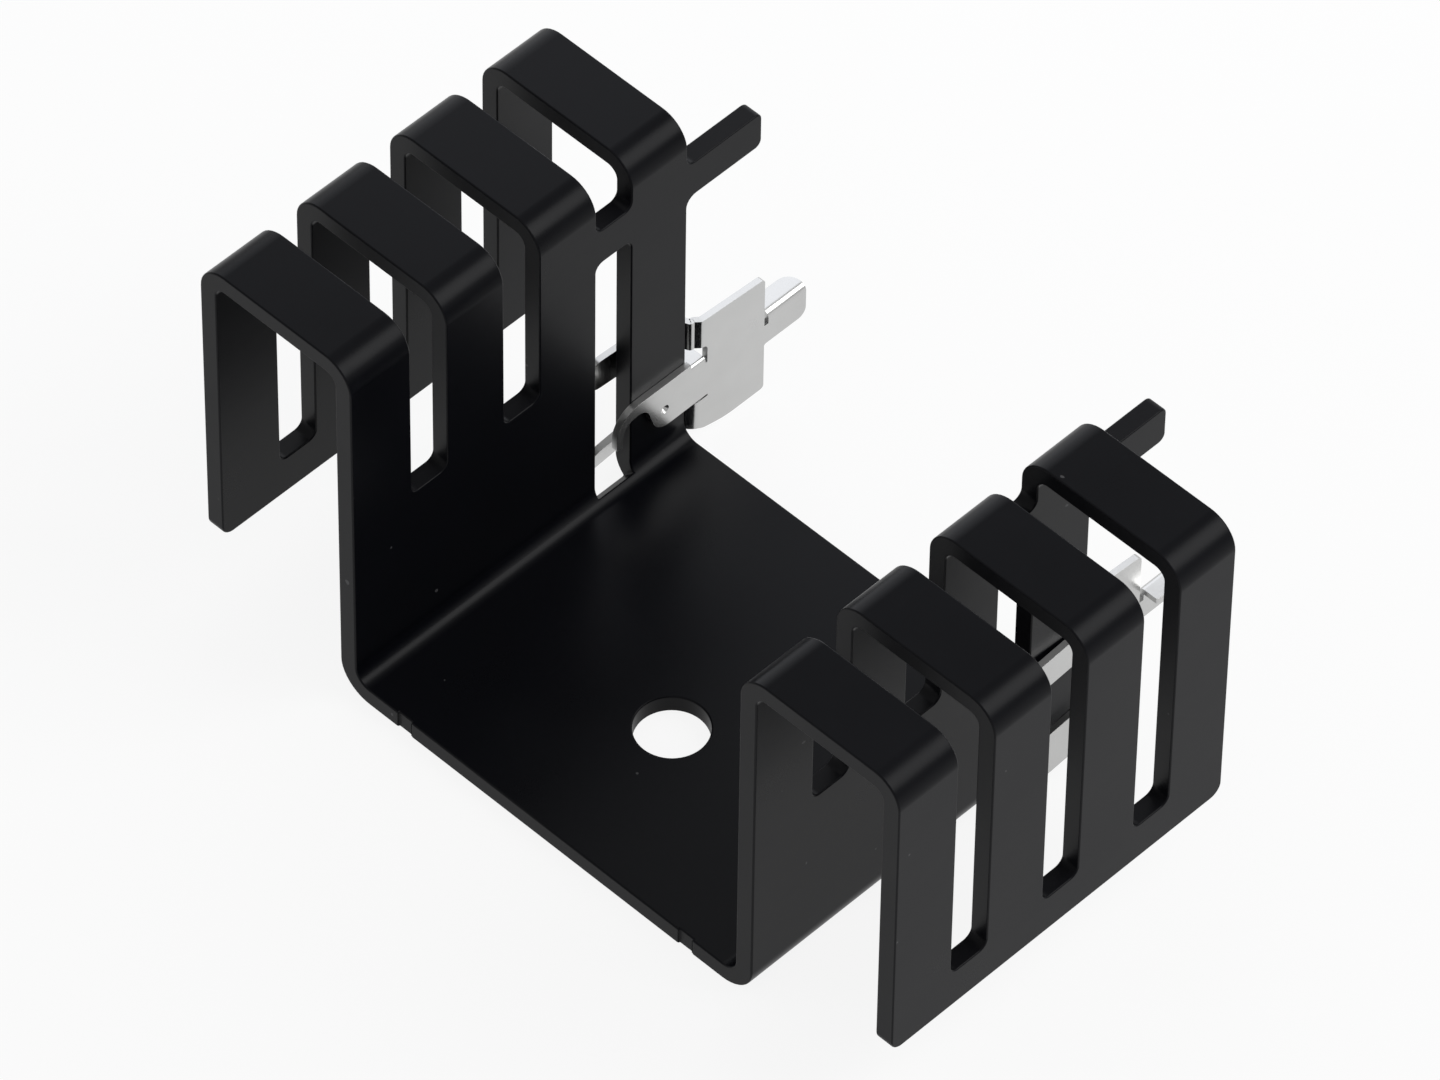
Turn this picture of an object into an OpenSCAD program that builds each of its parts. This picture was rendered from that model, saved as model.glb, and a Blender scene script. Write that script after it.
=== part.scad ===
// Folded-sheet heat sink for one power transistor, with two clip-on solder tabs.
// A single aluminium sheet is folded into a channel: flat base, two webs, two crowns that turn
// over outwards, and two fins that hang beside the webs. Three slots run over each crown.
// Sizes are in millimetres. X runs across the channel, Y from the front edge to the back edge,
// which faces the circuit board, and Z up from the underside of the base. The origin is on the
// screw hole's axis at the underside.

/* [Sheet] */
// Thickness of the aluminium sheet
sheet_t = 1.2; // [1.0:0.1:1.4]
// Length of the folded channel from its front edge to its back edge
length = 25.4; // [25.4:0.2:30]
// Width between the inner faces of the two webs
base_inner_w = 28.9; // [27:0.1:34]
// Gap between a web's outer face and the fin that hangs beside it
fold_gap = 9.1; // [8:0.1:12]
// Height of the crowns above the underside of the base
height = 26.2; // [25.8:0.1:30]
// Height of a fin's free lower edge above the underside of the base
fin_lift = 4.6; // [2:0.1:5.4]
// Inner radius of the bends between the base and the webs
base_bend_r = 1.0; // [0.6:0.1:1.2]
// Inner radius of the bends at both sides of a crown
crown_bend_r = 0.7; // [0.5:0.1:1.1]
// Radius of the two lower corners of each fin
fin_corner_r = 0.8; // [0.3:0.1:1.4]

/* [Slots] */
// Width of each slot that runs over a crown
slot_w = 2.7; // [2:0.1:3]
// Distance from one slot's centre to the next
slot_pitch = 7.0; // [6.6:0.1:7.2]
// Distance of the front slot's centre from the front edge
slot_first = 5.78; // [5:0.02:6]
// Height at which the two front slots end in the web
slot_web_end = 13.0; // [11:0.1:16]
// Height at which every slot ends in the fin
slot_fin_end = 7.35; // [6.8:0.05:9]
// Radius of a slot's end corners
slot_corner_r = 0.55; // [0.3:0.05:0.8]
// Height at which the strip that bridges the rear slot starts, in the web
bridge_z = 20.3; // [18.5:0.1:20.5]
// Height of the bridging strip, and of the stand-off foot behind it
bridge_h = 2.6; // [2:0.1:2.6]
// Angle round the base bend at which the window below the bridge ends
window_turn = 45; // [30:1:60]

/* [Feet and hole] */
// Distance that each stand-off foot reaches behind the back edge
foot_reach = 5.75; // [4:0.05:5.8]
// Radius of a foot's tip corners
foot_tip_r = 0.5; // [0.3:0.1:1.0]
// Radius of the fillet above a foot's root
foot_fillet_top = 0.6; // [0.3:0.1:1.0]
// Radius of the fillet below a foot's root
foot_fillet_low = 0.7; // [0.4:0.1:1.6]
// Diameter of the screw hole in the base
hole_d = 4.3; // [3.2:0.1:5]
// Distance of the screw hole's axis from the front edge
hole_from_front = 9.8; // [8:0.1:12]
// Distance of each small nick in the front edge from the channel's middle
nick_x = 10.7; // [9:0.1:12]
// Width of each nick
nick_w = 0.9; // [0.5:0.1:1.2]
// Depth of each nick
nick_depth = 0.2; // [0.1:0.05:0.4]

/* [Solder tabs] */
// Thickness of the tinned tab metal
tab_t = 0.4; // [0.3:0.05:0.5]
// Clearance between a tab and the sheet that it grips
tab_clear = 0.02; // [0.01:0.01:0.05]
// Distance behind the back edge at which the upper finger starts to turn outwards
joggle_upper = 0.85; // [0.7:0.05:1.0]
// Distance behind the back edge at which the lower finger starts to turn outwards
joggle_lower = 0.45; // [0.35:0.05:0.6]
// Distance of the tab's board shoulder behind the back edge
shoulder = 5.8; // [5.4:0.1:6.4]
// Height of the plate's lower edge
plate_low = 0.75; // [0.5:0.05:1.0]
// Height of the plate's upper edge at the shoulder
plate_top = 9.7; // [9.5:0.1:10]
// Height of the upper finger's lower edge
upper_finger_low = 7.9; // [7.7:0.05:8.1]
// Height of the upper finger's upper edge
upper_finger_top = 10.05; // [9.8:0.05:10.4]
// Height of the lower finger's lower edge
lower_finger_low = 1.5; // [1.2:0.05:1.8]
// Height of the lower finger's upper edge
lower_finger_top = 3.6; // [3.4:0.05:3.65]
// Distance that the upper finger reaches forward of the back edge, along the web's outer face
reach_upper = 6.2; // [5.2:0.1:6.4]
// Distance that the upper finger sinks from the back edge to its tip
finger_droop = 0.7; // [0:0.1:1]
// Distance that the lower finger reaches forward of the back edge
reach_lower = 6.2; // [5.6:0.1:6.6]
// Width of the slit between the lower finger and the gripping arm
slit_w = 0.18; // [0.1:0.02:0.24]
// Height of the gripping arm's upper edge
arm_top = 7.1; // [6.9:0.05:7.3]
// Height of the gripping arm's lower edge
arm_low = 3.7; // [3.65:0.05:3.9]
// Height of the neck where it leaves the arm
neck_h = 0.95; // [0.8:0.05:1.1]
// Width of the hook's strip
hook_w = 0.5; // [0.4:0.05:0.7]
// Width of the ledge at the arm's root, from the tab's inner face
ledge_w = 1.65; // [1.2:0.05:1.8]
// Diameter of the pressed dimple in the arm
dimple_d = 0.6; // [0.4:0.05:0.8]
// Length of the solder pin beyond the shoulder
pin_len = 3.3; // [2.5:0.1:4]
// Lower height of the solder pin
pin_low = 4.3; // [4.0:0.1:4.6]
// Upper height of the solder pin, at the face of its flange
pin_top = 6.8; // [6.6:0.1:7.0]
// Width of the pin's flange, from the tab's inner face
pin_flange = 1.65; // [1.3:0.05:1.9]
// Inner radius of the bend between the pin and its flange
pin_bend_r = 0.2; // [0.1:0.05:0.3]

/* [Hidden] */
$fn = 72;
over = 1;                                  // how far cutters run past what they cut
web_in = base_inner_w / 2;                 // inner face of a web
web_out = web_in + sheet_t;                // outer face of a web
fin_in = web_out + fold_gap;               // face of a fin that looks at its web
fin_out = fin_in + sheet_t;                // outermost face
base_bend_out = base_bend_r + sheet_t;     // outer radius of the base bends
crown_bend_out = crown_bend_r + sheet_t;   // outer radius of the crown bends
bend_x = web_out - base_bend_out;          // where the flat base ends
crown_z = height - crown_bend_out;         // where the crown bends start
fold_mid = (web_out + fin_in) / 2;         // middle of a crown
slot_rear = slot_first + 2 * slot_pitch;   // centre of the rear slot
tab_in = web_in - tab_clear - tab_t;       // the tab's face that looks into the channel
tab_back = web_in - tab_clear;             // the tab's face that looks at the web
finger_in = web_out + tab_clear;           // a finger's face that looks at the web
relief_r = (upper_finger_low - arm_top) / 2;  // radius of the relief above the arm's root
hook_r = 1.75;                             // outer radius of the hook
hook_y = -4.0;                             // centre of the hook's curve, from the back edge
hook_end = 4.5;                            // height of the hook's lower end

// A flat outline in Y and Z, made d thick along +X from x = x0.
module slab(x0, d) {
    translate([x0, 0, 0])
        rotate([90, 0, 90])
            linear_extrude(height = d)
                children();
}

// A quarter of a flat ring in the first quadrant, turned by the given angle.
module quarter_ring(r_in, r_out, turn) {
    rotate(turn)
        intersection() {
            difference() {
                circle(r_out);
                circle(r_in);
            }
            square([r_out, r_out]);
        }
}

// Half of the sheet's cross-section in X and Z, from the middle of the base to a fin's lower edge.
module half_section() {
    square([bend_x, sheet_t]);
    translate([bend_x, base_bend_out])
        quarter_ring(base_bend_r, base_bend_out, -90);
    translate([web_in, base_bend_out])
        square([sheet_t, crown_z - base_bend_out]);
    translate([web_out + crown_bend_r, crown_z])
        quarter_ring(crown_bend_r, crown_bend_out, 90);
    translate([web_out + crown_bend_r, height - sheet_t])
        square([fold_gap - 2 * crown_bend_r, sheet_t]);
    translate([fin_in - crown_bend_r, crown_z])
        quarter_ring(crown_bend_r, crown_bend_out, 0);
    translate([fin_in, fin_lift])
        square([sheet_t, crown_z - fin_lift]);
}

// The folded sheet before it is slotted.
module folded_sheet() {
    translate([0, length, 0])
        rotate([90, 0, 0])
            linear_extrude(height = length) {
                half_section();
                mirror([1, 0])
                    half_section();
            }
}

// Outline of a slot: its lower end is at z0 with rounded corners, its upper end is square.
module slot_outline(y_mid, z0, z1) {
    translate([y_mid - slot_w / 2, z0 + slot_corner_r])
        square([slot_w, z1 - z0 - slot_corner_r]);
    translate([y_mid - slot_w / 2 + slot_corner_r, z0])
        square([slot_w - 2 * slot_corner_r, slot_corner_r + 0.1]);
    for (side = [-1, 1])
        translate([y_mid + side * (slot_w / 2 - slot_corner_r), z0 + slot_corner_r])
            circle(slot_corner_r);
}

// One slot over a crown: from the height web_z in the web to the slots' end height in the fin.
module slot_cut(y_mid, web_z) {
    slab(web_in - over, fold_mid - web_in + over)
        slot_outline(y_mid, web_z, height + over);
    slab(fold_mid - 0.1, fin_out - fold_mid + over)
        slot_outline(y_mid, slot_fin_end, height + over);
}

// The window below the bridge: a straight part in the web, and its end in the base bend.
module window_cut() {
    slab(web_in - 0.5, sheet_t + over)
        intersection() {
            translate([slot_rear - slot_w / 2, base_bend_out])
                square([slot_w, bridge_z - base_bend_out]);
            translate([0, bridge_z + base_bend_out])
                mirror([0, 1])
                    slot_outline(slot_rear, base_bend_out, bridge_z + base_bend_out);
        }
    translate([bend_x, slot_rear + slot_w / 2, base_bend_out])
        rotate([90, 0, 0])
            linear_extrude(height = slot_w)
                intersection() {
                    difference() {
                        circle(base_bend_out + over);
                        circle(base_bend_r - 0.5);
                    }
                    polygon([[0, 0], [9, 0.01], [9, -9 * tan(window_turn)]]);
                }
}

// Takes the corner off a fin's lower edge. The corner is at y0, and the fin lies towards dir.
module fin_corner_cut(y0, dir) {
    slab(fin_in - over, sheet_t + 2 * over)
        translate([y0, fin_lift])
            mirror([dir < 0 ? 1 : 0, 0])
                difference() {
                    translate([-over, -over])
                        square([over + fin_corner_r, over + fin_corner_r]);
                    translate([fin_corner_r, fin_corner_r])
                        circle(fin_corner_r);
                }
}

// A stand-off foot: the bridging strip's height carried on behind the back edge.
module foot() {
    slab(web_in, sheet_t) {
        translate([length - 0.5, bridge_z])
            square([foot_reach + 0.5 - foot_tip_r, bridge_h]);
        translate([length, bridge_z + foot_tip_r])
            square([foot_reach, bridge_h - 2 * foot_tip_r]);
        for (z = [bridge_z + foot_tip_r, bridge_z + bridge_h - foot_tip_r])
            translate([length + foot_reach - foot_tip_r, z])
                circle(foot_tip_r);
        difference() {
            translate([length - 0.2, bridge_z + bridge_h - 0.1])
                square([foot_fillet_top + 0.2, foot_fillet_top + 0.1]);
            translate([length + foot_fillet_top, bridge_z + bridge_h + foot_fillet_top])
                circle(foot_fillet_top);
        }
        difference() {
            translate([length - 0.2, bridge_z - foot_fillet_low])
                square([foot_fillet_low + 0.2, foot_fillet_low + 0.1]);
            translate([length + foot_fillet_low, bridge_z - foot_fillet_low])
                circle(foot_fillet_low);
        }
    }
}

// Everything that is cut from the sheet on the +X side.
module side_cuts() {
    slot_cut(slot_first, slot_web_end);
    slot_cut(slot_first + slot_pitch, slot_web_end);
    slot_cut(slot_rear, bridge_z + bridge_h);
    window_cut();
    fin_corner_cut(0, 1);
    fin_corner_cut(length, -1);
    translate([nick_x - nick_w / 2, -over, -over])
        cube([nick_w, over + nick_depth, sheet_t + 2 * over]);
}

// The complete folded sheet, its front edge at y = 0.
module channel_body() {
    difference() {
        union() {
            folded_sheet();
            for (side = [0, 1])
                mirror([side, 0, 0])
                    foot();
        }
        for (side = [0, 1])
            mirror([side, 0, 0])
                side_cuts();
        translate([0, hole_from_front, -over])
            cylinder(h = sheet_t + 2 * over, d = hole_d);
    }
}

// Outline of a tab's plate, arm and pin in Y (from the back edge) and Z.
module tab_outline() {
    // plate, with its cut corner towards the base and a small corner at the shoulder
    polygon([[joggle_lower, 2.15], [0.95, plate_low + 0.5], [1.9, plate_low + 0.2], [2.9, plate_low],
             [shoulder - 0.4, plate_low], [shoulder, plate_low + 0.4], [shoulder, plate_top],
             [joggle_upper, upper_finger_top], [joggle_upper, arm_low], [joggle_lower, arm_low]]);
    // arm: a straight root and a rounded end
    translate([-1.55, arm_low])
        square([2.9, arm_top - arm_low]);
    translate([-1.55, arm_low + 1.0])
        circle(1.0);
    polygon([[-1.55, arm_top], [-3.6, arm_top], [-3.6, arm_top - neck_h], [-3.25, arm_top - neck_h - 0.15],
             [-2.5, arm_low + 0.7], [-1.55, arm_low + 0.5]]);
    // neck, which narrows towards the hook, and the hook itself
    polygon([[hook_y, arm_top], [hook_y, arm_top - hook_w], [-3.55, arm_top - neck_h], [-3.55, arm_top]]);
    translate([hook_y, arm_top - hook_r])
        quarter_ring(hook_r - hook_w, hook_r, 90);
    translate([hook_y - hook_r, hook_end])
        square([hook_w, arm_top - hook_r - hook_end + 0.01]);
    // pin, up to the bend of its flange
    translate([shoulder - 0.5, pin_low])
        square([pin_len + 0.5, pin_top - pin_low - tab_t - pin_bend_r]);
}

// The turned-back part of a finger in X and Y (from the back edge), for the +X side, up to where
// it lies along the web. start is where the plate's inner face begins to turn outwards.
module finger_plan(start) {
    polygon([[tab_in, start + 0.6], [tab_in, start], [tab_in + start - tab_clear, tab_clear],
             [finger_in, tab_clear], [finger_in, -0.5],
             [finger_in + tab_t, -0.5], [finger_in + tab_t, 0.25],
             [finger_in + tab_t - 0.25, tab_clear + tab_t],
             [tab_in + start + 1.4142 * tab_t - tab_clear - tab_t, tab_clear + tab_t],
             [tab_back, start + 0.4142 * tab_t], [tab_back, start + 0.6]]);
}

// One finger, between two heights. Along the web it sinks by droop to its rounded tip.
module finger(start, reach, z_low, z_top, droop) {
    tip_r = (z_top - z_low) / 2;
    translate([0, 0, z_low])
        linear_extrude(height = z_top - z_low)
            finger_plan(start);
    slab(finger_in, tab_t) {
        polygon([[-0.49, z_low], [-0.49, z_top], [-reach + tip_r, z_top - droop], [-reach + tip_r, z_low - droop]]);
        translate([-reach + tip_r, z_low - droop + tip_r])
            circle(tip_r);
    }
}

// The pin's L section, in X and Z, and its flange towards the web's outer side.
module pin_flange_body() {
    translate([0, shoulder + pin_len, 0])
        rotate([90, 0, 0])
            linear_extrude(height = pin_len - 0.45) {
                translate([tab_back + pin_bend_r, pin_top - tab_t - pin_bend_r])
                    quarter_ring(pin_bend_r, pin_bend_r + tab_t, 90);
                translate([tab_back + pin_bend_r - 0.01, pin_top - tab_t])
                    square([pin_flange - tab_t - pin_bend_r + 0.01, tab_t]);
                translate([tab_in, pin_top - tab_t - pin_bend_r - 0.1])
                    square([tab_t, 0.11]);
            }
}

// Cutters that round the pin's end and taper its flange.
module pin_end_cuts() {
    slab(tab_in - over, tab_t + over + 0.1)
        translate([shoulder + pin_len - 0.6, pin_low + 0.6])
            difference() {
                translate([0, -1.6])
                    square([1.6, 1.6]);
                circle(0.6);
            }
    translate([tab_in + pin_flange + 0.01, shoulder + pin_len + 0.01, pin_top - tab_t - 0.1])
        linear_extrude(height = tab_t + over)
            polygon([[0.5, 0.5], [-1.35, 0.5], [-1.35, 0], [-0.2, -0.75], [0, -1.3], [0.5, -1.3]]);
}

// A whole tab on the +X side, its back edge reference at y = 0.
module tab_body() {
    difference() {
        union() {
            slab(tab_in, tab_t)
                tab_outline();
            finger(joggle_upper, reach_upper, upper_finger_low, upper_finger_top, finger_droop);
            finger(joggle_lower, reach_lower, lower_finger_low, lower_finger_top, 0);
            pin_flange_body();
            // ledge turned outwards from the arm's root, against the sheet's back edge
            translate([tab_back - 0.1, tab_clear, arm_top - tab_t])
                cube([tab_in + ledge_w - tab_back + 0.1, 1.1, tab_t]);
            // lip of the hook, turned into the rear slot
            translate([tab_back - 0.1, hook_y - hook_r, hook_end + 0.2])
                cube([0.9, tab_t, arm_top - hook_r - hook_end]);
        }
        translate([tab_in - dimple_d * 0.6, -2.0, arm_low + 1.4])
            sphere(r = dimple_d * 0.78);
        pin_end_cuts();
        // round relief between the upper finger and the arm
        slab(tab_in - over, tab_t + over + 0.01)
            translate([joggle_upper, arm_top + relief_r])
                circle(relief_r);
        // slit between the arm and the lower finger
        slab(tab_in - over, tab_t + over + 0.01) {
            translate([-0.1, lower_finger_top])
                square([1.5, slit_w]);
            translate([1.4, lower_finger_top + slit_w / 2])
                circle(slit_w / 2);
        }
    }
}

module finned_channel() {
    color([0.07, 0.07, 0.08])
        translate([0, -hole_from_front, 0])
            channel_body();
}

module solder_tab_right() {
    color([0.78, 0.78, 0.8])
        translate([0, length - hole_from_front, 0])
            tab_body();
}

module solder_tab_left() {
    color([0.78, 0.78, 0.8])
        mirror([1, 0, 0])
            translate([0, length - hole_from_front, 0])
                tab_body();
}

finned_channel();
solder_tab_left();
solder_tab_right();
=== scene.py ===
from math import cos, pi, radians
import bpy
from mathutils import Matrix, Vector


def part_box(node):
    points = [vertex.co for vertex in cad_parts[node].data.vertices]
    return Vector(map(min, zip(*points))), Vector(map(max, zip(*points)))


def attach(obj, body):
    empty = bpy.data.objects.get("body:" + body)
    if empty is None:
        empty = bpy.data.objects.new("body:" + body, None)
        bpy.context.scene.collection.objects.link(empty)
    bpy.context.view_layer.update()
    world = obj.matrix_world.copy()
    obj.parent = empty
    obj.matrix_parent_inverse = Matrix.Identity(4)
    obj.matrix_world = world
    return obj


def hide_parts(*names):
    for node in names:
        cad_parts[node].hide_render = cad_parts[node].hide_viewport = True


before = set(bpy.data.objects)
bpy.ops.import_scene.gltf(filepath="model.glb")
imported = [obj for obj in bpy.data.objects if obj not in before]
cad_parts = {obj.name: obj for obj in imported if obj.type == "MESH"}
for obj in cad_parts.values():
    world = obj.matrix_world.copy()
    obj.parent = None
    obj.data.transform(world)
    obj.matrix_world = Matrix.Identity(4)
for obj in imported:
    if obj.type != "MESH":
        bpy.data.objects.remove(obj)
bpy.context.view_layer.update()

from types import SimpleNamespace

import bmesh
import bpy
from bpy.props import FloatProperty, FloatVectorProperty, PointerProperty
from bpy.types import Operator, Panel, PropertyGroup
from mathutils import Matrix, Vector

bl_info = {
    "name": "Folded Heat Sink",
    "version": (1, 0, 0),
    "blender": (4, 5, 0),
    "location": "3D View > Sidebar > Heat Sink",
    "description": "Folds a slotted transistor heat sink from sheet "
                   "and clips two solder tabs on it",
    "category": "Add Mesh",
}

MM = 0.001
NEAR = 1e-3                       # mm: two places closer than this are the same place
SLOTS = 3                         # slots over each crown
BEND_STEPS = 10                   # facets round a quarter bend: even, so a crease is at 45 degrees
HOLE_STEPS = 14                   # facets round a quarter of the screw hole
CORNER_STEPS = 6                  # facets round a punched corner
WIDE_CORNER_STEPS = 8             # facets round a wide corner
TIGHT_CORNER_STEPS = 5            # facets round a tight corner or fold of a tab
WIDE_CORNER = 0.5                 # mm: radius from which a tab's corner is a wide one
ARRIS_STEPS = 3                   # facets across a softened edge
ARRIS_ANGLE = radians(40)         # an edge that turns more than this is softened
FLAT_ANGLE = radians(0.5)         # faces that turn less than this are joined
SMALLEST_OFFCUT = 0.4             # mm2: under any offcut, over any patch behind a rounded corner
FOLD_SHIFT = 0.2071               # of the thickness: by this much the middle surface turns later
TIP_ROUND = 0.49                  # radius of a finger's tip against its width
FOLD_WIDTHS = (0.13, 0.13, 0.3)   # mm: roundings of a finger's folds, from the plate on
JOG_FOLD_WIDTHS = (0.04, 0.04, 0.04, 0.06, 0.3)  # mm: the same for a finger with a jog
JOG_SPAN = (0.23, 0.45)           # mm before the finger's root: where the jog runs straight
LEAN_SPAN = (0.3, 1.6)            # mm before the back edge: where the lean starts and is full
FREE_START = 0.25                 # mm before the back edge: where a finger is clear of its folds
FINGER_MARGIN = 0.3               # mm above and below a finger that still count as on it
DIMPLE_FACETS = 20
DIMPLE_PLACE = (-2.0, 5.1)        # mm behind the back edge, and mm above the underside
DIMPLE_STEPS = ((0.08, 0.86), (0.16, 0.7), (0.04, 0.4))  # mm deeper, and share of the last radius

PHOTO_WIDTH = 1440.0              # px
FOCAL_LENGTH = 12198.767          # px, at that width
SENSOR_WIDTH = 36.0               # mm
FLOOR_HALF_WIDTH = 2.0            # m
FLOOR_WHITE = (0.88, 0.72)        # share of plain white in the floor: for the camera, for gloss
ROOM_WHITE = (1.0, 0.25)          # share of plain white in the room: for the camera, for gloss
ROOM_LIGHT = 0.5                  # strength of the light from all round
WHITE = (1.0, 1.0, 1.0, 1.0)

SHEET_LOW, SHEET_HIGH = (corner / MM for corner in map(Vector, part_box("finned_channel")))


# Sizes and colours

def size(name, description, default):
    """A length in the panel. Its default is given in millimetres."""
    return FloatProperty(name=name, description=description, default=default * MM, min=0.0,
                         unit="LENGTH", precision=5)


def tint(name, description, default):
    """A colour in the panel, linear."""
    return FloatVectorProperty(name=name, description=description, default=default, min=0.0,
                               max=1.0, subtype="COLOR", size=3)


class HeatSinkSheet(PropertyGroup):
    """Sizes of the folded sheet."""
    thickness: size("Thickness", "Thickness of the aluminium sheet", 1.2)
    front: size("Hole to front", "Distance from the screw hole to the front edge", -SHEET_LOW.y)
    back: size("Hole to back", "Distance from the screw hole to the back edge", 15.6)
    foot_tip: size("Hole to feet", "Distance from the screw hole to the tips of the feet",
                   SHEET_HIGH.y)
    height: size("Height", "Height of the crowns above the underside", SHEET_HIGH.z)
    half_width: size("Half width", "Distance from the middle to a fin's outer face", SHEET_HIGH.x)
    web_inner: size("Web", "Distance from the middle to a web's inner face", 14.45)
    fin_lift: size("Fin lift", "Height of a fin's lower edge above the underside", 4.6)
    base_bend: size("Base bend", "Inner radius of the bends at the base", 1.0)
    crown_bend: size("Crown bend", "Inner radius of the bends at the crowns", 0.7)
    fin_corner: size("Fin corner", "Radius of a fin's lower corners", 0.8)
    arris: size("Arris", "Width of the softened edge along every cut", 0.1)


class HeatSinkCuts(PropertyGroup):
    """Sizes of what is punched out of the sheet."""
    hole: size("Screw hole", "Radius of the screw hole", 2.15)
    slot_half: size("Half slot", "Half the width of a slot", 1.35)
    slot_pitch: size("Pitch", "Distance from one slot to the next", 7.0)
    slot_front: size("Front slot", "Distance of the front slot's middle before the screw hole",
                     4.02)
    slot_web_end: size("Web end", "Height at which the two front slots end in the web", 13.0)
    slot_fin_end: size("Fin end", "Height at which the slots end in the fin", 7.35)
    slot_corner: size("Slot corner", "Radius of a slot's end corners", 0.55)
    bridge_low: size("Bridge", "Height at which the strip across the rear slot starts", 20.3)
    bridge_high: size("Bridge top", "Height at which the strip across the rear slot ends", 22.9)
    foot_corner: size("Foot corner", "Radius of a foot's tip corners", 0.5)
    foot_top: size("Upper fillet", "Radius of the fillet above a foot", 0.6)
    foot_low: size("Lower fillet", "Radius of the fillet below a foot", 0.7)
    nick: size("Nick", "Distance of each nick in the front edge from the middle", 10.7)
    nick_half: size("Half nick", "Half the width of a nick", 0.5)
    nick_depth: size("Nick depth", "Depth of a nick", 0.11)


class HeatSinkTab(PropertyGroup):
    """Sizes of a solder tab. Lengths along the part are counted from the sheet's back edge."""
    thickness: size("Thickness", "Thickness of the tab metal", 0.4)
    gap: size("Gap", "Clearance between the tab and the sheet", 0.02)
    plate_low: size("Plate", "Height of the plate's lower edge at the shoulder", 0.75)
    plate_high: size("Plate top", "Height of the plate's upper edge at the shoulder", 9.7)
    shoulder: size("Shoulder", "Distance of the board shoulder behind the back edge", 5.8)
    pin: size("Pin", "Length of the solder pin beyond the shoulder", 3.3)
    pin_low: size("Pin height", "Height of the pin's lower edge", 4.3)
    pin_fold: size("Pin fold", "Height of the fold between the pin and its flange", 6.2)
    flange: size("Flange", "Width of the pin's flange", 1.4)
    flange_start: size("Flange start", "Distance of the flange's start behind the back edge", 6.12)
    ledge: size("Ledge", "Width of the ledge at the arm's root", 1.65)
    ledge_start: size("Ledge start", "Distance of the ledge's start behind the back edge", 0.05)
    ledge_end: size("Ledge end", "Distance of the ledge's end behind the back edge", 1.15)
    ledge_fold: size("Ledge fold", "Height of the fold between the arm and its ledge", 6.6)
    upper_root: size("Upper root", "Distance of the upper finger's root behind the back edge", 0.85)
    upper_low: size("Upper low", "Height of the upper finger's lower edge", 7.9)
    upper_high: size("Upper high", "Height of the upper finger's upper edge", 10.05)
    upper_reach: size("Upper finger", "Length of the upper finger along the web", 6.2)
    jog: size("Jog", "Depth of the jog in the upper finger's root", 0.28)
    spread: size("Spread", "How far the upper finger's tip stands off the web", 0.3)
    lower_root: size("Lower root", "Distance of the lower finger's root behind the back edge", 0.45)
    lower_low: size("Lower low", "Height of the lower finger's lower edge at its root", 1.5)
    lower_high: size("Lower high", "Height of the lower finger's upper edge at its root", 3.6)
    lower_reach: size("Lower finger", "Length of the lower finger along the web", 6.2)
    sink: size("Sink", "How far the lower finger sinks to its tip", 0.6)
    lean: size("Lean", "How far the lower finger's lower edge stands off the web", 0.62)
    dimple: size("Dimple", "Radius of the pressed dimple", 0.4)
    arris: size("Arris", "Greatest width of the softened edge", 0.08)


class HeatSinkFinish(PropertyGroup):
    """Colours of the finishes and of the stage."""
    dye: tint("Black dye", "Colour of the anodised faces", (0.0021, 0.0023, 0.0036))
    cut: tint("Cut edge", "Colour of the punched edges", (0.0045, 0.0046, 0.0058))
    tin: tint("Tin", "Colour of the tinned tabs", (0.54, 0.54, 0.535))
    floor: tint("Floor", "Colour of the floor", (0.88, 0.88, 0.88))


# Bmesh helpers

def in_mm(group):
    """The lengths of a property group in millimetres."""
    return SimpleNamespace(**{key: getattr(group, key) / MM for key in type(group).__annotations__})


def share(value):
    """A value, kept between none and all."""
    return min(1.0, max(0.0, value))


def vertex_at(bm, place):
    """The vertex at a place."""
    place = Vector(place)
    found = min(bm.verts, key=lambda v: (v.co - place).length_squared)
    if (found.co - place).length > 10 * NEAR:
        raise RuntimeError(f"no vertex at {tuple(place)}, the nearest is at {tuple(found.co)}")
    return found


def edge_between(bm, first, second):
    """The edge between two places."""
    edge = bm.edges.get((vertex_at(bm, first), vertex_at(bm, second)))
    if edge is None:
        raise RuntimeError(f"no edge from {tuple(first)} to {tuple(second)}")
    return edge


def round_vertices(bm, places, radius, steps=CORNER_STEPS):
    """Rounds the corners at the given places."""
    bmesh.ops.bevel(bm, geom=[vertex_at(bm, place) for place in places], offset=radius,
                    offset_type="OFFSET", segments=steps, profile=0.5, affect="VERTICES",
                    clamp_overlap=False, material=-1)


def round_fold(bm, edge, offset):
    """Rounds a fold line."""
    bmesh.ops.bevel(bm, geom=[edge], offset=offset, offset_type="OFFSET",
                    segments=TIGHT_CORNER_STEPS, profile=0.5, affect="EDGES",
                    clamp_overlap=False, material=-1)


def push(bm, edges, move):
    """Extrudes edges by a move and gives the new vertices."""
    made = bmesh.ops.extrude_edge_only(bm, edges=edges)["geom"]
    verts = [part for part in made if isinstance(part, bmesh.types.BMVert)]
    bmesh.ops.translate(bm, verts=verts, vec=move)
    return verts


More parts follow.
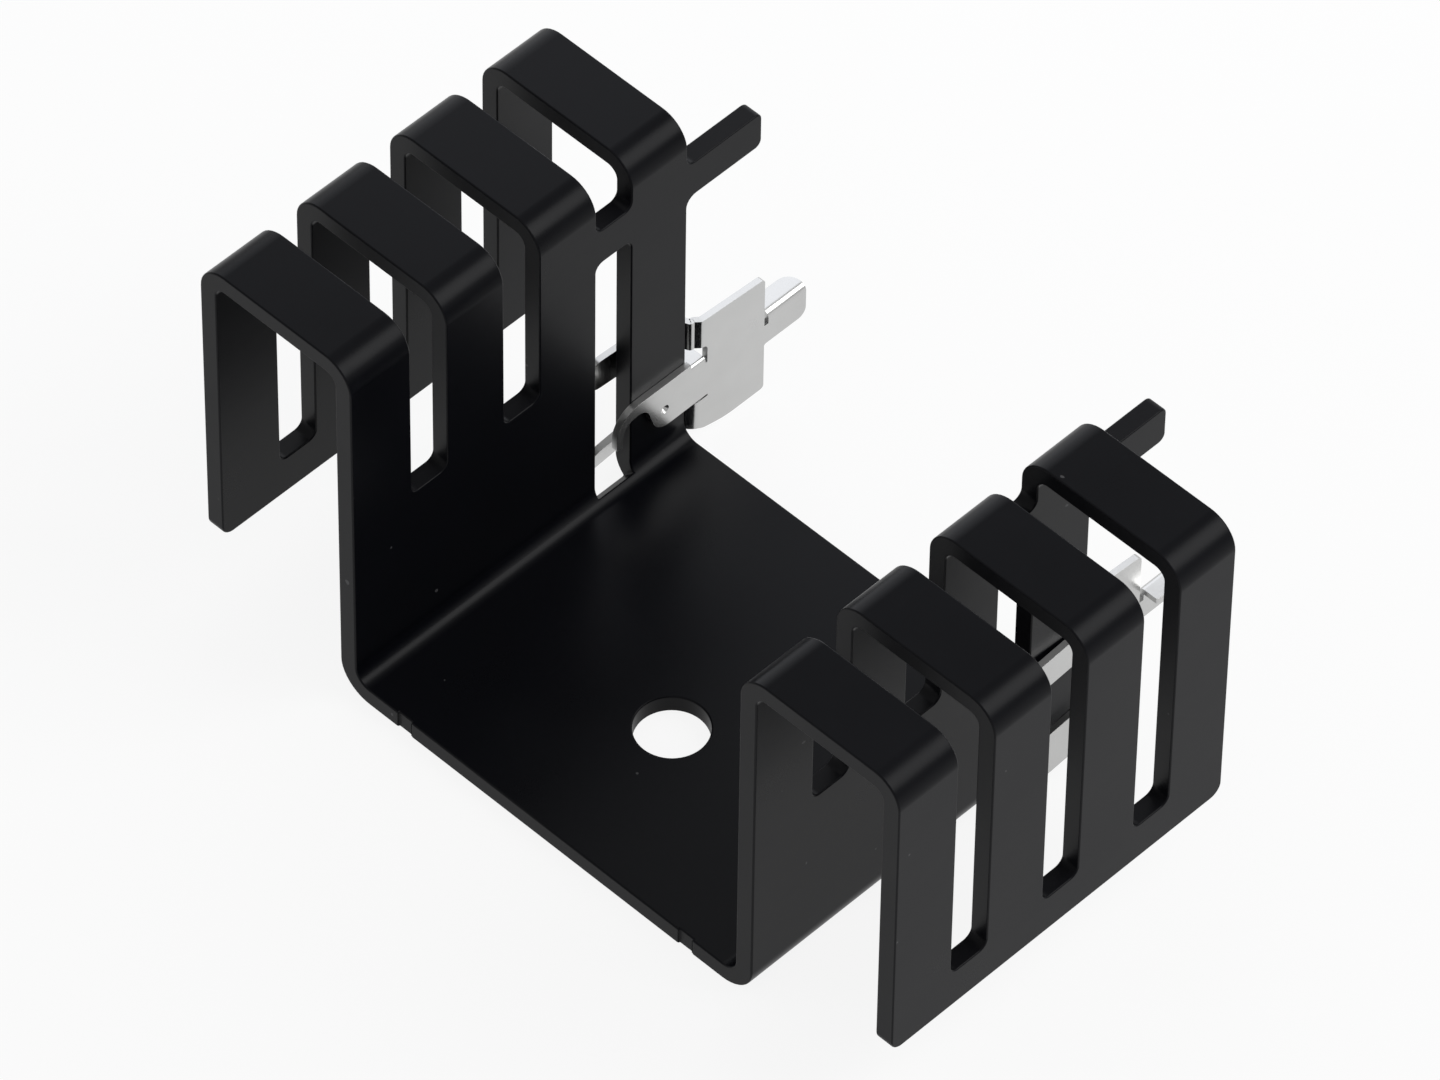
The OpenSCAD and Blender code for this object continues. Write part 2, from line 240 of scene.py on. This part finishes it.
def cut_along(bm, axis, place, chosen):
    """Cuts the chosen faces along the plane where the axis has the given value."""
    faces = [face for face in bm.faces if chosen(face.calc_center_median())]
    edges = list(dict.fromkeys(edge for face in faces for edge in face.edges))
    verts = list(dict.fromkeys(vert for face in faces for vert in face.verts))
    normal = Vector([float(name == axis) for name in "xyz"])
    bmesh.ops.bisect_plane(bm, geom=verts + edges + faces, dist=NEAR / 10, plane_co=normal * place,
                           plane_no=normal)


def finished(bm, name, materials):
    """Turns a bmesh in millimetres into a piece in metres that rides on the one body."""
    bmesh.ops.scale(bm, vec=(MM, MM, MM), verts=bm.verts)
    mesh = bpy.data.meshes.new(name)
    bm.to_mesh(mesh)
    bm.free()
    mesh.shade_smooth()
    for material in materials:
        mesh.materials.append(material)
    piece = bpy.data.objects.new(name, mesh)
    bpy.context.scene.collection.objects.link(piece)
    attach(piece, "root")
    return piece


def thicken(piece, thickness, arris, clamp=False):
    """Gives a middle surface its thickness, its cut edges the second material, and every sharp edge
    a softened arris. The clamp narrows the arris as far as the smallest edges need."""
    wall = piece.modifiers.new("Wall", "SOLIDIFY")
    wall.thickness = thickness * MM
    wall.offset = 0.0
    wall.use_even_offset = True
    wall.use_rim = True
    wall.material_offset_rim = 1
    edge = piece.modifiers.new("Arris", "BEVEL")
    edge.width = arris * MM
    edge.segments = ARRIS_STEPS
    edge.use_clamp_overlap = clamp
    edge.limit_method = "ANGLE"
    edge.angle_limit = ARRIS_ANGLE
    edge.harden_normals = True
    shade = piece.modifiers.new("Flat faces stay flat", "WEIGHTED_NORMAL")
    shade.weight = 60
    shade.keep_sharp = True


# The folded sheet

class HalfSheet:
    """The middle surface of the sheet's +X half, from its folded section to the punched channel."""

    def __init__(self, sheet, cuts):
        self.sheet, self.cuts = sheet, cuts
        self.half = sheet.thickness / 2
        self.web = sheet.web_inner + self.half
        self.fin = sheet.half_width - self.half
        self.crown = sheet.height - self.half
        self.front, self.back = -sheet.front, sheet.back
        self.slots = [-cuts.slot_front + number * cuts.slot_pitch for number in range(SLOTS)]
        self.bridge = (cuts.bridge_low, cuts.bridge_high)
        self.bm = bmesh.new()

    def in_base(self, place):
        return place.z < self.half + NEAR

    def above_base(self, place):
        return place.z > self.half + NEAR

    def in_web(self, place):
        return abs(place.x - self.web) < NEAR

    def in_fin(self, place):
        return abs(place.x - self.fin) < NEAR

    def knock_out(self, is_waste):
        """Removes the faces that a test of the face and its centre picks."""
        waste = [face for face in self.bm.faces if is_waste(face, face.calc_center_median())]
        bmesh.ops.delete(self.bm, geom=waste, context="FACES")

    def fold(self):
        """Bends the section, draws it out along the part, and draws the web out for the foot."""
        bm, half, front = self.bm, self.half, self.front
        web, fin, crown = self.web, self.fin, self.crown
        section = ((0.0, half), (web, half), (web, crown), (fin, crown), (fin, self.sheet.fin_lift))
        line = [bm.verts.new((x, front, z)) for x, z in section]
        for start, end in zip(line, line[1:]):
            bm.edges.new((start, end))
        round_vertices(bm, [(web, front, half)], self.sheet.base_bend + half, BEND_STEPS)
        round_vertices(bm, [(x, front, crown) for x in (web, fin)],
                       self.sheet.crown_bend + half, BEND_STEPS)
        push(bm, bm.edges[:], (0.0, self.back - front, 0.0))
        rear_edge = [edge for edge in bm.edges if all(
            self.in_web(v.co) and abs(v.co.y - self.back) < NEAR for v in edge.verts)]
        push(bm, rear_edge, (0.0, self.sheet.foot_tip - self.back, 0.0))

    def punch_hole(self):
        """Punches half of the screw hole."""
        radius = self.cuts.hole
        cut_along(self.bm, "x", radius, self.in_base)
        for side in (-1, 1):
            cut_along(self.bm, "y", side * radius, self.in_base)
        corners = [(radius, side * radius, self.half) for side in (-1, 1)]
        round_vertices(self.bm, corners, radius, HOLE_STEPS)
        bmesh.ops.remove_doubles(self.bm, verts=self.bm.verts, dist=NEAR)
        self.knock_out(lambda face, centre: self.in_base(centre)
                       and all(v.co.xy.length < radius + NEAR for v in face.verts))

    def punch_nick(self):
        """Punches the small nick in the front edge."""
        cuts = self.cuts
        nick_end = self.front + cuts.nick_depth

        def beside_nick(place):
            return self.in_base(place) and abs(place.x - cuts.nick) < cuts.nick_half

        for side in (-1, 1):
            cut_along(self.bm, "x", cuts.nick + side * cuts.nick_half, self.in_base)
        cut_along(self.bm, "y", nick_end, beside_nick)
        self.knock_out(lambda face, centre: beside_nick(centre) and centre.y < nick_end)

    def is_offcut(self, centre):
        """Whether a face is in a slot, in the bridge's window, or above or below the foot."""
        cuts, sheet = self.cuts, self.sheet
        if centre.y > self.back:
            return not cuts.bridge_low < centre.z < cuts.bridge_high
        slot = next((middle for middle in self.slots
                     if abs(centre.y - middle) < cuts.slot_half - NEAR), None)
        if slot is None or self.in_base(centre):
            return False
        if self.in_fin(centre):
            return centre.z > cuts.slot_fin_end
        if slot == self.slots[-1] and centre.z < cuts.bridge_high:
            # the window reaches 45 degrees round the base bend
            window_low = self.half + (sheet.base_bend + self.half) * (1 - cos(radians(45)))
            return window_low < centre.z < cuts.bridge_low
        return centre.z > cuts.slot_web_end

    def punch_slots(self):
        """Punches the slots, the window and the outline of the bridge and the foot."""
        bm, cuts = self.bm, self.cuts
        sides = [middle + side * cuts.slot_half for middle in self.slots for side in (-1, 1)]
        front_sides, rear_sides = sides[:-2], sides[-2:]
        for y in sides:
            cut_along(bm, "y", y, self.above_base)
        for z in (cuts.slot_web_end, *self.bridge):
            cut_along(bm, "z", z, self.in_web)
        cut_along(bm, "z", cuts.slot_fin_end, self.in_fin)
        corners = [(self.web, y, cuts.slot_web_end) for y in front_sides]
        corners += [(self.web, y, z) for y in rear_sides for z in self.bridge]
        corners += [(self.fin, y, cuts.slot_fin_end) for y in sides]
        round_vertices(bm, corners, cuts.slot_corner)
        round_vertices(bm, [(self.web, self.back, cuts.bridge_high)], cuts.foot_top)
        round_vertices(bm, [(self.web, self.back, cuts.bridge_low)], cuts.foot_low)
        self.knock_out(lambda face, centre: face.calc_area() > SMALLEST_OFFCUT
                       and self.is_offcut(centre))

    def round_free_corners(self):
        """Rounds the corners of the foot's tip and of the fin's lower edge."""
        round_vertices(self.bm, [(self.web, self.sheet.foot_tip, z) for z in self.bridge],
                       self.cuts.foot_corner, WIDE_CORNER_STEPS)
        fin_corners = [(self.fin, y, self.sheet.fin_lift) for y in (self.front, self.back)]
        round_vertices(self.bm, fin_corners, self.sheet.fin_corner, WIDE_CORNER_STEPS)


def channel_mesh(sheet, cuts):
    """The middle surface of the whole sheet: one half is folded and punched, then mirrored."""
    half_sheet = HalfSheet(sheet, cuts)
    half_sheet.fold()
    half_sheet.punch_hole()
    half_sheet.punch_nick()
    half_sheet.punch_slots()
    half_sheet.round_free_corners()
    bm = half_sheet.bm
    bmesh.ops.mirror(bm, geom=bm.verts[:] + bm.edges[:] + bm.faces[:], axis="X", merge_dist=NEAR)
    bmesh.ops.remove_doubles(bm, verts=bm.verts, dist=NEAR)
    bmesh.ops.dissolve_limit(bm, angle_limit=FLAT_ANGLE, verts=bm.verts, edges=bm.edges)
    bmesh.ops.recalc_face_normals(bm, faces=bm.faces)
    return bm


# The solder tabs

def fold_line(tab, root):
    """Where the middle surface turns, for a 45 degree fold whose inner face turns at the root."""
    return root + FOLD_SHIFT * tab.thickness


def tab_outline(tab):
    """Corners of the flat tab: distance behind the back edge, height, and corner radius."""
    upper, lower = fold_line(tab, tab.upper_root), fold_line(tab, tab.lower_root)
    relief_low = 5.8
    tip = tab.shoulder + tab.pin
    return [
        # lower edge of the plate
        (lower, tab.lower_low, 0), (0.95, 1.2, 0.25), (1.9, 0.95, 0.5), (2.9, tab.plate_low, 0.5),
        (tab.shoulder, tab.plate_low, 0.25),
        # shoulder, pin, and the relief in front of its flange
        (tab.shoulder, tab.pin_low, 0.15), (tip, tab.pin_low, 0.6), (tip, tab.pin_fold, 0),
        (tab.flange_start, tab.pin_fold, 0), (tab.flange_start, relief_low, 0),
        (tab.shoulder, relief_low, 0),
        # upper edge of the plate and root of the upper finger
        (tab.shoulder, tab.plate_high, 0.3), (upper, tab.upper_high, 0), (upper, tab.upper_low, 0),
        # notch between the upper finger and the ledge
        (1.3, 7.75, 0.2), (1.3, 6.45, 0), (tab.ledge_end, 6.45, 0),
        (tab.ledge_end, tab.ledge_fold, 0), (tab.ledge_start, tab.ledge_fold, 0),
        # arm with its hook
        (tab.ledge_start, 7.1, 0), (-5.75, 7.1, 1.75), (-5.75, 4.5, 0.15), (-5.25, 4.5, 0.15),
        (-5.25, 6.45, 1.25), (-3.4, 6.15, 0.5), (-2.6, 3.7, 0.9),
        # slit between the arm and the lower finger, and that finger's root
        (1.35, 3.75, 0), (1.35, tab.lower_high, 0), (lower, tab.lower_high, 0),
    ]


class TabBlank:
    """The middle surface of a tab on the +X side, from its flat outline to the folded tab."""

    def __init__(self, tab, back, web_inner, web_outer):
        self.tab, self.back = tab, back
        self.half = tab.thickness / 2
        self.inner = web_inner - tab.gap - self.half      # the plate lies just inside the web
        self.outer = web_outer + tab.gap + self.half      # the fingers lie just outside it
        self.bm = bmesh.new()

    def cut_out(self):
        """Cuts the outline and the dimple's rim out of the plate's plane."""
        bm, tab = self.bm, self.tab
        corners = tab_outline(tab)
        ring = [bm.verts.new((self.inner, self.back + y, z)) for y, z, _ in corners]
        for start, end in zip(ring, ring[1:] + ring[:1]):
            bm.edges.new((start, end))
        for y, z, radius in corners:
            if radius:
                steps = TIGHT_CORNER_STEPS if radius < WIDE_CORNER else WIDE_CORNER_STEPS
                round_vertices(bm, [(self.inner, self.back + y, z)], radius, steps)
        turned = Matrix.Translation(self.dimple_place()) @ Matrix.Rotation(radians(90), 4, "Y")
        bmesh.ops.create_circle(bm, cap_ends=False, segments=DIMPLE_FACETS, radius=tab.dimple,
                                matrix=turned)
        bmesh.ops.triangle_fill(bm, use_beauty=True, edges=bm.edges[:], normal=(1.0, 0.0, 0.0))
        bmesh.ops.dissolve_limit(bm, angle_limit=FLAT_ANGLE, verts=bm.verts, edges=bm.edges)

    def dimple_place(self):
        behind, height = DIMPLE_PLACE
        return Vector((self.inner, self.back + behind, height))

    def press_dimple(self):
        """Draws the dimple's rim outwards in steps and closes it."""
        bm, middle = self.bm, self.dimple_place()
        rim = [edge for edge in bm.edges
               if all(abs((v.co - middle).length - self.tab.dimple) < NEAR for v in edge.verts)]
        for depth, shrink in DIMPLE_STEPS:
            verts = push(bm, rim, (depth, 0.0, 0.0))
            bmesh.ops.scale(bm, vec=(1.0, shrink, shrink), verts=verts,
                            space=Matrix.Translation(-middle))
            rim = [edge for edge in bm.edges if all(v in verts for v in edge.verts)]
        bmesh.ops.edgeloop_fill(bm, edges=rim)

    def fold_finger(self, root, low, high, reach, sink=0.0, jog=0.0, spread=0.0, lean=0.0):
        """Folds a finger: it slants outwards from the plate, crosses the sheet's back edge,
        then lies along the web's outer face."""
        bm, inner, outer = self.bm, self.inner, self.outer
        fold, behind = fold_line(self.tab, root), self.tab.gap + self.half
        path = [(inner, fold, 0.0), (inner + fold - behind, behind, 0.0), (outer, behind, 0.0),
                (outer + spread, -reach, -sink)]
        fold_widths = FOLD_WIDTHS
        if jog:
            path[1:1] = [(inner + jog, root - before, 0.0) for before in JOG_SPAN]
            fold_widths = JOG_FOLD_WIDTHS
        rows = [[(x, self.back + y, edge + drop) for edge in (low, high)] for x, y, drop in path]
        for row, after in zip(rows, rows[1:]):
            push(bm, [edge_between(bm, *row)], Vector(after[0]) - Vector(row[0]))
        round_vertices(bm, rows[-1], TIP_ROUND * (high - low), WIDE_CORNER_STEPS)
        for row, width in zip(rows, fold_widths):
            round_fold(bm, edge_between(bm, *row), width)
        if lean:
            self.lean_out(low, high - low, sink / reach, lean)

    def lean_out(self, low, width, slope, lean):
        """Leans a finger's free part away from the web: its lower edge stands off by the lean."""
        bm, back = self.bm, self.back
        lean_start, lean_full = LEAN_SPAN

        def height(place):
            return place.z - low + slope * (back - place.y)

        def on_finger(place):
            return (place.x > self.outer - NEAR and place.y < back - FREE_START
                    and -FINGER_MARGIN < height(place) < width + FINGER_MARGIN)

        faces = [face for face in bm.faces if on_finger(face.calc_center_median())]
        parts = dict.fromkeys(part for face in faces for part in (*face.verts, *face.edges, face))
        bmesh.ops.bisect_plane(bm, geom=list(parts), dist=NEAR / 10,
                               plane_co=(self.outer, back, low + width / 2),
                               plane_no=(0.0, -slope, 1.0))
        cut_along(bm, "y", back - lean_full, on_finger)
        for vert in bm.verts:
            if on_finger(vert.co):
                along = share((back - vert.co.y - lean_start) / (lean_full - lean_start))
                vert.co.x += lean * (1.0 - share(height(vert.co) / width)) * along

    def turn_out(self, height, start, end, width, radius, corners):
        """Folds a strip outwards from an upper edge of the plate, and rounds its free corners."""
        bm, reach = self.bm, width - self.half
        near, far = (Vector((self.inner, self.back + y, height)) for y in (start, end))
        edge = edge_between(bm, near, far)
        made = bmesh.ops.spin(bm, geom=[edge] + list(edge.verts),
                              cent=near + Vector((radius, 0.0, 0.0)), axis=(0.0, 1.0, 0.0),
                              angle=radians(90), steps=CORNER_STEPS,
                              use_merge=False, use_duplicate=False)["geom_last"]
        turned_edge = [part for part in made if isinstance(part, bmesh.types.BMEdge)]
        push(bm, turned_edge, (reach - radius, 0.0, 0.0))
        for place, corner in zip((near, far), corners):
            round_vertices(bm, [place + Vector((reach, 0.0, radius))], corner)


def tab_mesh(tab, back, web_inner, web_outer, side):
    """The middle surface of one tab. It is made on the +X side, and side -1 mirrors it."""
    blank = TabBlank(tab, back, web_inner, web_outer)
    blank.cut_out()
    blank.press_dimple()
    blank.fold_finger(tab.upper_root, tab.upper_low, tab.upper_high, tab.upper_reach,
                      jog=tab.jog, spread=tab.spread)
    blank.fold_finger(tab.lower_root, tab.lower_low, tab.lower_high, tab.lower_reach,
                      sink=tab.sink, lean=tab.lean)
    blank.turn_out(tab.pin_fold, tab.flange_start, tab.shoulder + tab.pin, tab.flange,
                   radius=0.25, corners=(0.12, 0.9))
    blank.turn_out(tab.ledge_fold, tab.ledge_start, tab.ledge_end, tab.ledge,
                   radius=0.05, corners=(0.1, 0.1))
    bm = blank.bm
    if side < 0:
        bmesh.ops.scale(bm, vec=(-1.0, 1.0, 1.0), verts=bm.verts)
    bmesh.ops.remove_doubles(bm, verts=bm.verts, dist=NEAR)
    bmesh.ops.recalc_face_normals(bm, faces=bm.faces)
    return bm


# Finishes

class Value:
    """A node's output that Python's operators combine into Math nodes."""

    def __init__(self, finish, socket):
        self.finish, self.socket = finish, socket

    def _math(self, operation, first, second):
        return self.finish.node("ShaderNodeMath", {"operation": operation}, {0: first, 1: second})

    def __add__(self, other):
        return self._math("ADD", self, other)

    def __sub__(self, other):
        return self._math("SUBTRACT", self, other)

    def __rsub__(self, other):
        return self._math("SUBTRACT", other, self)

    def __mul__(self, other):
        return self._math("MULTIPLY", self, other)

    __radd__, __rmul__ = __add__, __mul__


class Finish:
    """The nodes of one material, or of the surroundings."""

    def __init__(self, owner, end="ShaderNodeOutputMaterial"):
        owner.use_nodes = True
        self.owner, self.tree, self.end = owner, owner.node_tree, end
        self.tree.nodes.clear()

    def node(self, kind, settings=None, inputs=None, output=0):
        """Adds a node, sets it up, then gives its sockets their values or links."""
        node = self.tree.nodes.new(kind)
        for key, value in (settings or {}).items():
            if key == "stops":
                ramp = node.color_ramp.elements
                for _ in range(len(value) - len(ramp)):
                    ramp.new(0.5)
                for stop, (position, level) in zip(ramp, value):
                    stop.position, stop.color = position, (level, level, level, 1.0)
            else:
                setattr(node, key, value)
        for key, value in (inputs or {}).items():
            if isinstance(value, Value):
                self.tree.links.new(value.socket, node.inputs[key])
            else:
                node.inputs[key].default_value = value
        return Value(self, node.outputs[output])

    def millimetres(self, stretch):
        """Object coordinates in millimetres, stretched along the axes."""
        place = self.node("ShaderNodeTexCoord", output="Object")
        return self.node("ShaderNodeMapping", {"vector_type": "POINT"},
                         {"Vector": place, "Scale": [factor / MM for factor in stretch]})

    def noise(self, per_mm, detail, stretch=(1.0, 1.0, 1.0), roughness=0.5):
        """Noise from 0 to 1, with about so many patches in a millimetre."""
        return self.node("ShaderNodeTexNoise", {"noise_dimensions": "3D"},
                         {"Vector": self.millimetres(stretch), "Scale": per_mm, "Detail": detail,
                          "Roughness": roughness}, output="Fac")

    def ramp(self, value, *stops):
        """A value led through stops, each with its position and its level."""
        return self.node("ShaderNodeValToRGB", {"stops": stops}, {"Fac": value})

    def blend(self, factor, first, second):
        """A colour between two colours."""
        return self.node("ShaderNodeMix", {"data_type": "RGBA"},
                         {0: factor, 6: first, 7: second}, output=2)

    def bump(self, height, distance, under=None):
        """A normal roughened by a height, over another normal if one is given."""
        inputs = {"Height": height, "Distance": distance * MM}
        if under is not None:
            inputs["Normal"] = under
        return self.node("ShaderNodeBump", None, inputs)

    def whiteness(self, to_camera, to_gloss):
        """How much plain white the camera sees here, and glossy and clear surfaces show."""
        rays = ("Is Camera Ray", "Is Glossy Ray", "Is Transmission Ray")
        camera, glossy, clear = (self.node("ShaderNodeLightPath", output=ray) for ray in rays)
        return camera * to_camera + (glossy + clear) * to_gloss

    def close(self, surface):
        """Ends the nodes with a surface, or with the shader made of a surface's inputs."""
        if isinstance(surface, dict):
            surface = self.node("ShaderNodeBsdfPrincipled", None, surface)
        end = self.tree.nodes.new(self.end)
        self.tree.links.new(surface.socket, end.inputs["Surface"])
        return self.owner


def rgba(colour, level=1.0):
    """A colour at a level, as a socket takes it."""
    return [min(1.0, part * level) for part in colour] + [1.0]


def anodised(name, colour, roughness, etch, rub):
    """Black anodised aluminium: a fine matt etch, cloudy dye, faint rubs and a few pale specks."""
    finish = Finish(bpy.data.materials.new(name))
    cloud = finish.noise(0.14, 3.0)
    etched = finish.noise(11.0, 2.0, roughness=0.6)
    wave = finish.noise(0.55, 1.0, stretch=(1.0, 0.5, 1.0))
    specks = finish.ramp(finish.noise(1.5, 0.0), (0.0, 0.0), (0.875, 0.0), (0.89, 1.0), (1.0, 1.0))
    scuffs = finish.ramp(finish.noise(0.8, 5.0, stretch=(1.0, 0.6, 1.0), roughness=0.7),
                         (0.0, 0.0), (0.6, 0.0), (0.8, 1.0))
    dye = finish.blend(cloud, rgba(colour, 0.75), rgba(colour, 1.3))
    dye = finish.blend(scuffs * rub, dye, rgba(colour, 4.0))
    dye = finish.blend(specks * 0.5, dye, rgba((0.12, 0.12, 0.125)))
    return finish.close({
        "Base Color": dye,
        "Roughness": roughness + (cloud - 0.5) * 0.12 + (etched - 0.5) * 0.06 + scuffs * 0.06,
        "Specular IOR Level": 0.1,
        "Normal": finish.bump(etched, etch, under=finish.bump(wave, 0.004)),
    })


def tinned(name, colour, roughness, ripple):
    """Tin plating: a soft satin, with faint ripples and slightly dull patches."""
    finish = Finish(bpy.data.materials.new(name))
    cloud = finish.noise(0.35, 2.0)
    ripples = finish.noise(1.6, 2.0, stretch=(1.0, 0.6, 1.0))
    grains = finish.noise(12.0, 2.0)
    dull = finish.ramp(finish.noise(0.8, 3.0), (0.0, 0.0), (0.45, 0.0), (0.8, 1.0))
    plate = finish.blend(cloud, rgba(colour, 0.95), rgba(colour, 1.05))
    plate = finish.blend(dull * 0.2, plate, rgba(colour, 0.9))
    return finish.close({
        "Base Color": plate,
        "Metallic": 1.0,
        "Roughness": roughness + (cloud - 0.5) * 0.06 + dull * 0.03,
        "Normal": finish.bump(grains, ripple * 0.1, under=finish.bump(ripples, ripple)),
    })


def pale_floor(colour):
    """The floor: a plain matt surface that the camera and glossy faces see as nearly white."""
    finish = Finish(bpy.data.materials.new("pale_floor"))
    fleck = finish.noise(0.05, 2.0)
    matt = finish.node("ShaderNodeBsdfDiffuse", None,
                       {"Color": finish.blend(fleck, rgba(colour, 0.99), rgba(colour, 1.01))})
    white = finish.node("ShaderNodeEmission", None, {"Color": WHITE, "Strength": 1.0})
    return finish.close(finish.node("ShaderNodeMixShader", None,
                                    {0: finish.whiteness(*FLOOR_WHITE), 1: matt, 2: white}))


def bright_room():
    """Even light from all round, before a white backdrop that shows a little in glossy faces."""
    room = Finish(bpy.data.worlds.new("surroundings"), "ShaderNodeOutputWorld")
    light, backdrop = (
        room.node("ShaderNodeBackground", None, {"Color": WHITE, "Strength": strength})
        for strength in (ROOM_LIGHT, 1.0))
    return room.close(room.node("ShaderNodeMixShader", None,
                                {0: room.whiteness(*ROOM_WHITE), 1: light, 2: backdrop}))


# Operators

class HEATSINK_OT_sheet(Operator):
    """Fold and punch the finned channel"""
    bl_idname = "heat_sink.sheet"
    bl_label = "Folded Sheet"

    def execute(self, context):
        scene = context.scene
        sheet, finish = in_mm(scene.heat_sink_sheet), scene.heat_sink_finish
        piece = finished(channel_mesh(sheet, in_mm(scene.heat_sink_cuts)), "folded_sheet", [
            anodised("black_anodised_face", finish.dye, roughness=0.30, etch=0.0012, rub=0.12),
            anodised("black_anodised_cut", finish.cut, roughness=0.38, etch=0.003, rub=0.3)])
        thicken(piece, sheet.thickness, sheet.arris)
        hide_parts("finned_channel")
        return {"FINISHED"}


class HEATSINK_OT_tabs(Operator):
    """Stamp the two solder tabs and clip them on the webs"""
    bl_idname = "heat_sink.tabs"
    bl_label = "Solder Tabs"

    def execute(self, context):
        scene = context.scene
        sheet, tab = in_mm(scene.heat_sink_sheet), in_mm(scene.heat_sink_tab)
        tin = scene.heat_sink_finish.tin
        materials = [tinned("tinned_face", tin, roughness=0.24, ripple=0.006),
                     tinned("tinned_cut", tin, roughness=0.30, ripple=0.010)]
        for side, name in ((-1, "left"), (1, "right")):
            bm = tab_mesh(tab, sheet.back, sheet.web_inner, sheet.web_inner + sheet.thickness, side)
            piece = finished(bm, f"{name}_clip_tab", materials)
            thicken(piece, tab.thickness, tab.arris, clamp=True)
            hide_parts(f"solder_tab_{name}")
        return {"FINISHED"}


def add_lamp(name, place, target, width, radiance, colour=(1.0, 1.0, 1.0)):
    """A square soft lamp that faces a target. Radiance 1 is as bright as a white wall."""
    lamp = bpy.data.lights.new(name, "AREA")
    lamp.shape, lamp.size, lamp.color = "SQUARE", width, colour
    lamp.energy = radiance * pi * width * width
    holder = bpy.data.objects.new(name, lamp)
    holder.location = place
    holder.rotation_euler = (Vector(target) - Vector(place)).to_track_quat("-Z", "Y").to_euler()
    holder.visible_camera = False
    bpy.context.scene.collection.objects.link(holder)


def add_floor(colour):
    """A flat square floor at the part's underside."""
    bm = bmesh.new()
    bmesh.ops.create_grid(bm, x_segments=8, y_segments=8, size=FLOOR_HALF_WIDTH)
    mesh = bpy.data.meshes.new("floor")
    bm.to_mesh(mesh)
    bm.free()
    mesh.materials.append(pale_floor(colour))
    floor = bpy.data.objects.new("floor", mesh)
    bpy.context.scene.collection.objects.link(floor)


def camera_place():
    """Where the camera stands: turned round the part, lifted, and rolled a little."""
    turn, lift, roll = 43.912, 49.087, 0.861
    distance, shift_right, shift_up = 654.376, 0.469, 1.518
    aim = Vector((0.0, 2.9, 12.0))
    rotation = (Matrix.Rotation(radians(turn), 4, "Z")
                @ Matrix.Rotation(radians(90.0 - lift), 4, "X")
                @ Matrix.Rotation(radians(roll), 4, "Z"))
    place = aim + rotation.to_3x3() @ Vector((shift_right, shift_up, distance))
    return Matrix.Translation(place * MM) @ rotation


def add_camera():
    """The camera, at the photograph's viewing angle."""
    view = bpy.data.cameras.new("camera")
    view.sensor_width = SENSOR_WIDTH
    view.sensor_fit = "HORIZONTAL"
    view.lens = FOCAL_LENGTH / PHOTO_WIDTH * SENSOR_WIDTH
    view.clip_start, view.clip_end = 0.01, 20.0
    camera = bpy.data.objects.new("camera", view)
    camera.matrix_world = camera_place()
    bpy.context.scene.collection.objects.link(camera)
    bpy.context.scene.camera = camera


class HEATSINK_OT_stage(Operator):
    """Set the floor, the surroundings, the lamps and the camera"""
    bl_idname = "heat_sink.stage"
    bl_label = "Stage"

    def execute(self, context):
        scene = context.scene
        add_floor(scene.heat_sink_finish.floor)
        scene.world = bright_room()
        add_lamp("back softbox", place=(-0.0878, 0.0913, 0.0621), target=(-0.0288, 0.0299, -0.036),
                 width=0.12, radiance=1.0, colour=(0.96, 0.99, 1.06))
        add_lamp("right softbox", place=(0.2102, 0.2132, 0.2797), target=(0.0, 0.003, 0.012),
                 width=0.25, radiance=3.8)
        add_camera()
        scene.view_settings.view_transform = "Standard"
        return {"FINISHED"}


class HEATSINK_PT_sidebar(Panel):
    """Lists the heat sink's pieces, sizes and colours"""
    bl_label = "Folded Heat Sink"
    bl_space_type = "VIEW_3D"
    bl_region_type = "UI"
    bl_category = "Heat Sink"

    def draw(self, context):
        layout = self.layout
        for operator in OPERATORS:
            layout.operator(operator.bl_idname)
        for key, _ in GROUPS:
            group = getattr(context.scene, key)
            box = layout.box()
            box.label(text=key.replace("_", " ").capitalize())
            for name in type(group).__annotations__:
                box.prop(group, name)


GROUPS = (("heat_sink_sheet", HeatSinkSheet), ("heat_sink_cuts", HeatSinkCuts),
          ("heat_sink_tab", HeatSinkTab), ("heat_sink_finish", HeatSinkFinish))
OPERATORS = (HEATSINK_OT_stage, HEATSINK_OT_sheet, HEATSINK_OT_tabs)


def register():
    for _, group in GROUPS:
        bpy.utils.register_class(group)
    for key, group in GROUPS:
        setattr(bpy.types.Scene, key, PointerProperty(type=group))
    for item in OPERATORS + (HEATSINK_PT_sidebar,):
        bpy.utils.register_class(item)


def unregister():
    for item in (HEATSINK_PT_sidebar,) + OPERATORS:
        bpy.utils.unregister_class(item)
    for key, group in GROUPS:
        delattr(bpy.types.Scene, key)
        bpy.utils.unregister_class(group)


def main():
    register()
    bpy.ops.heat_sink.stage()
    bpy.ops.heat_sink.sheet()
    bpy.ops.heat_sink.tabs()


if __name__ == "__main__":
    main()
